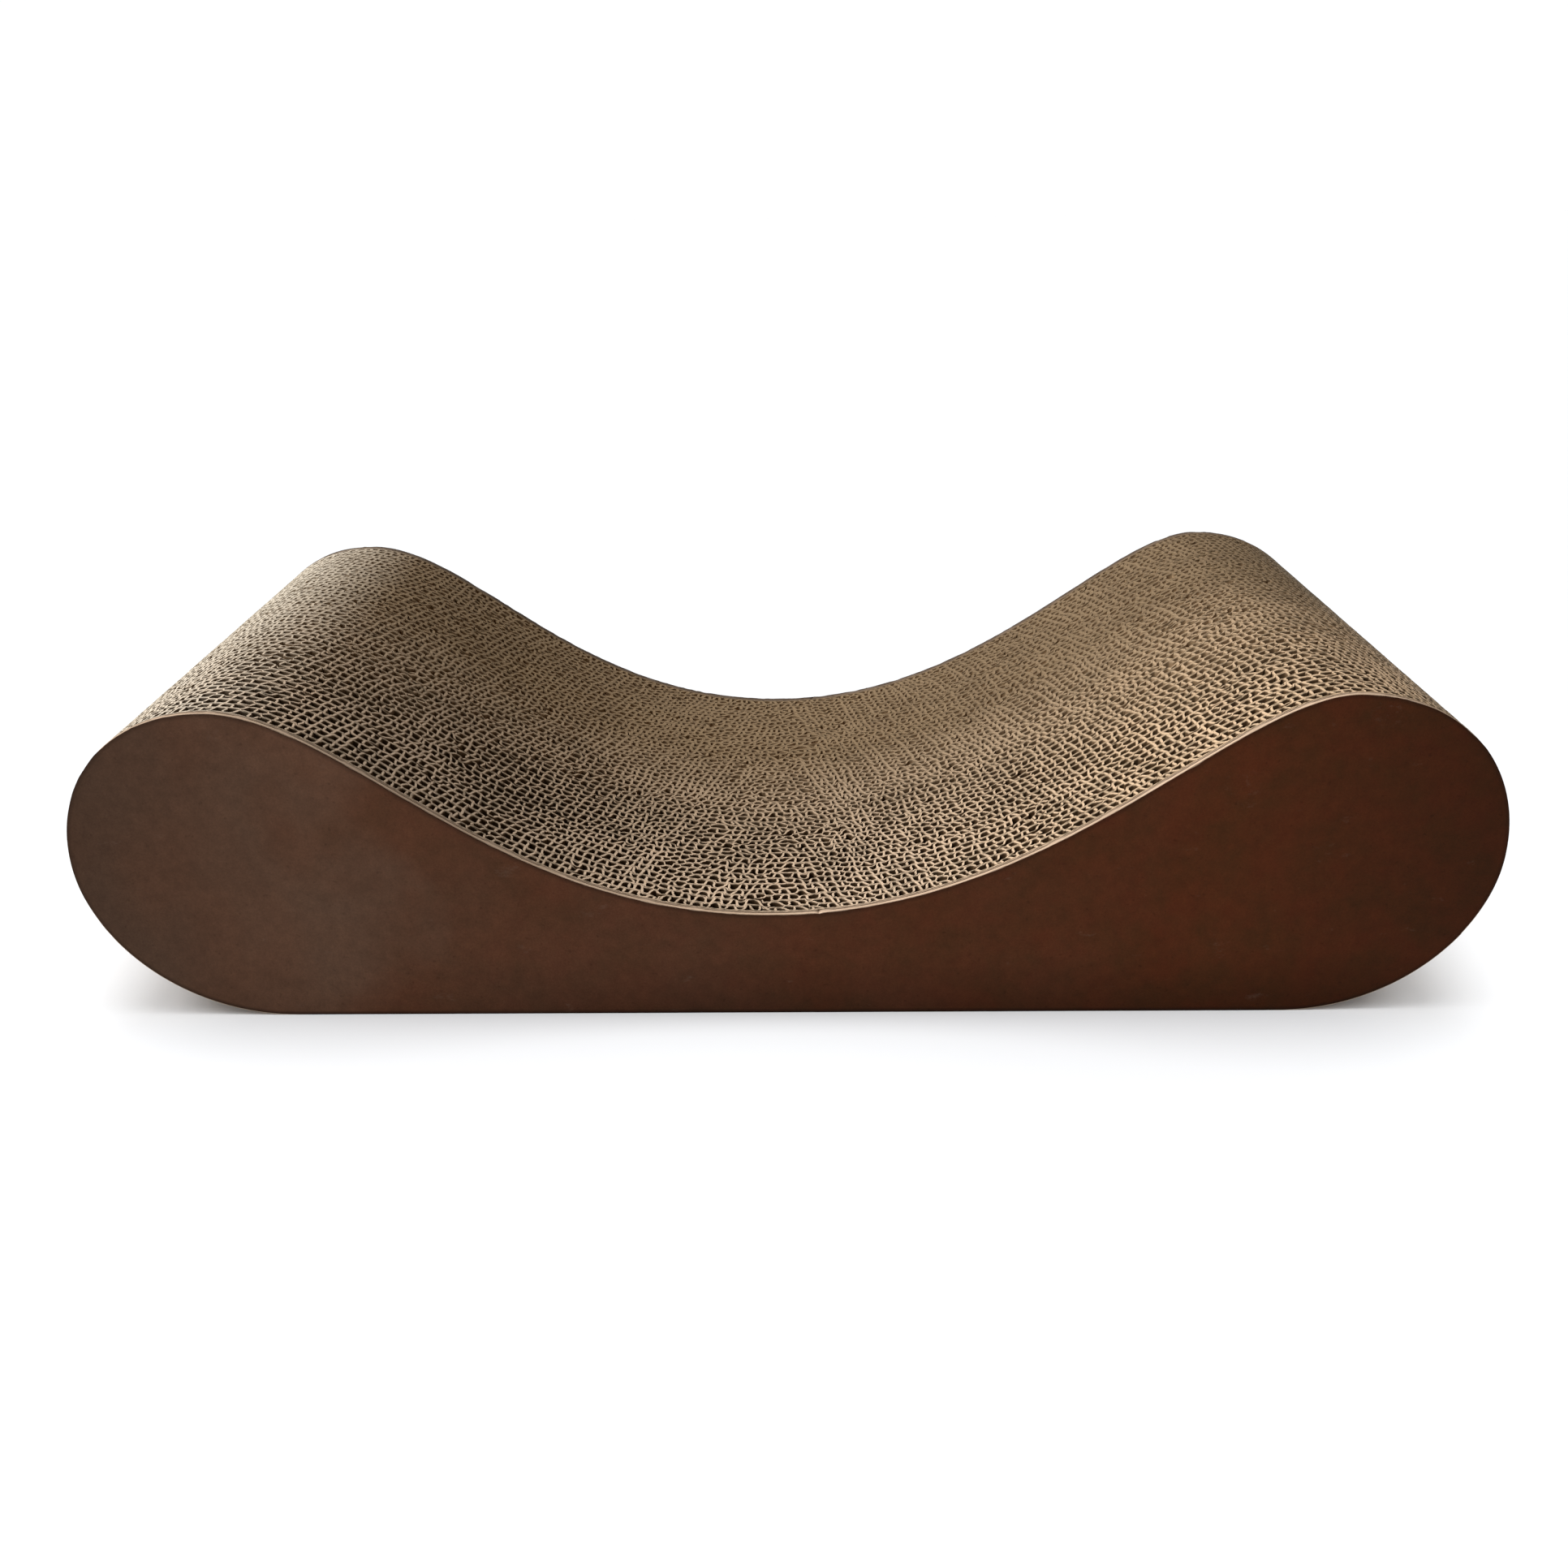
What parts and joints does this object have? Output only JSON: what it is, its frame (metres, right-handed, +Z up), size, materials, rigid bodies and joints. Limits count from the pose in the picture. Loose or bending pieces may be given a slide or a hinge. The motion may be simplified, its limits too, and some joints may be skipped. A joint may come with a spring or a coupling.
{
  "type": "cat scratcher sofa",
  "caption": "Low wave-shaped cat lounger laminated from corrugated sheets on edge, with a hollow seat between two rounded humps and a brown face panel at front and rear.",
  "frame": {"origin": "on the floor, at the middle of the length and of the depth", "axes": "+X along the sofa from the lower hump to the higher one, -Y towards the front face, +Z up"},
  "size_m": [0.61, 0.2652, 0.1495],
  "materials": {
    "corrugated_kraft": "raw cut edge",
    "panel_board": "raw cut edge",
    "face_paper": "matt brown"
  },
  "bodies": {
    "root": {"front_face_paper": "face_paper", "front_panel_board": "panel_board", "scratch_sheet_01": "corrugated_kraft", "scratch_sheet_02": "corrugated_kraft", "scratch_sheet_03": "corrugated_kraft", "scratch_sheet_04": "corrugated_kraft", "scratch_sheet_05": "corrugated_kraft", "scratch_sheet_06": "corrugated_kraft", "scratch_sheet_07": "corrugated_kraft", "scratch_sheet_08": "corrugated_kraft", "scratch_sheet_09": "corrugated_kraft", "scratch_sheet_10": "corrugated_kraft", "scratch_sheet_11": "corrugated_kraft", "scratch_sheet_12": "corrugated_kraft", "scratch_sheet_13": "corrugated_kraft", "scratch_sheet_14": "corrugated_kraft", "scratch_sheet_15": "corrugated_kraft", "scratch_sheet_16": "corrugated_kraft", "scratch_sheet_17": "corrugated_kraft", "scratch_sheet_18": "corrugated_kraft", "scratch_sheet_19": "corrugated_kraft", "scratch_sheet_20": "corrugated_kraft", "scratch_sheet_21": "corrugated_kraft", "scratch_sheet_22": "corrugated_kraft", "scratch_sheet_23": "corrugated_kraft", "scratch_sheet_24": "corrugated_kraft", "scratch_sheet_25": "corrugated_kraft", "scratch_sheet_26": "corrugated_kraft", "scratch_sheet_27": "corrugated_kraft", "scratch_sheet_28": "corrugated_kraft", "scratch_sheet_29": "corrugated_kraft", "scratch_sheet_30": "corrugated_kraft", "scratch_sheet_31": "corrugated_kraft", "scratch_sheet_32": "corrugated_kraft", "scratch_sheet_33": "corrugated_kraft", "scratch_sheet_34": "corrugated_kraft", "scratch_sheet_35": "corrugated_kraft", "scratch_sheet_36": "corrugated_kraft", "scratch_sheet_37": "corrugated_kraft", "scratch_sheet_38": "corrugated_kraft", "scratch_sheet_39": "corrugated_kraft", "scratch_sheet_40": "corrugated_kraft", "scratch_sheet_41": "corrugated_kraft", "scratch_sheet_42": "corrugated_kraft", "scratch_sheet_43": "corrugated_kraft", "scratch_sheet_44": "corrugated_kraft", "scratch_sheet_45": "corrugated_kraft", "scratch_sheet_46": "corrugated_kraft", "scratch_sheet_47": "corrugated_kraft", "scratch_sheet_48": "corrugated_kraft", "scratch_sheet_49": "corrugated_kraft", "scratch_sheet_50": "corrugated_kraft", "scratch_sheet_51": "corrugated_kraft", "rear_panel_board": "panel_board", "rear_face_paper": "face_paper"}
  },
  "joints": []
}
